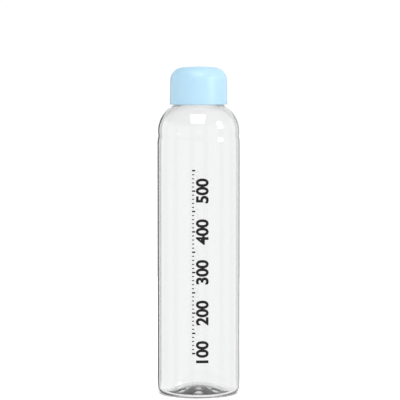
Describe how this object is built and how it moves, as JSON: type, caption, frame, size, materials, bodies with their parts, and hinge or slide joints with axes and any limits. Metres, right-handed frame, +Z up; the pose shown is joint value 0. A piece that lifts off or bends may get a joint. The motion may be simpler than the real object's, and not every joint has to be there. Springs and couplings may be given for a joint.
{
  "type": "water bottle",
  "caption": "Slim clear water bottle with a domed shoulder and a plain light blue screw cap that unscrews from a two-start neck thread",
  "frame": {"origin": "the middle of the flat ring that the bottle stands on", "axes": "+Z up along the bottle's axis; the bottle is round, so +X and +Y are free choices"},
  "size_m": [0.066, 0.066, 0.262],
  "materials": {
    "clear_plastic": "clear glossy blow-moulded plastic",
    "silicone": "translucent white silicone",
    "insert_plastic": "satin white moulded plastic",
    "cap_plastic": "satin light blue moulded plastic"
  },
  "bodies": {
    "bottle": {"bottle": "clear_plastic"},
    "seal": {"seal_ring": "silicone"},
    "cap": {"cap_insert": "insert_plastic", "cap_shell": "cap_plastic"}
  },
  "joints": [
    {"name": "cap_lift", "type": "slide", "parent": "bottle", "child": "seal", "axis": [0, 0, 1], "range_m": [0, 0.016]},
    {"name": "cap_unscrew", "type": "hinge", "parent": "seal", "child": "cap", "pos_m": [0, 0, 0.24], "axis": [0, 0, 1], "range_deg": [0, 720]}
  ],
  "couplings": [
    {"joint": "cap_lift", "follows": "cap_unscrew", "m_per_rad": 0.0012732}
  ]
}
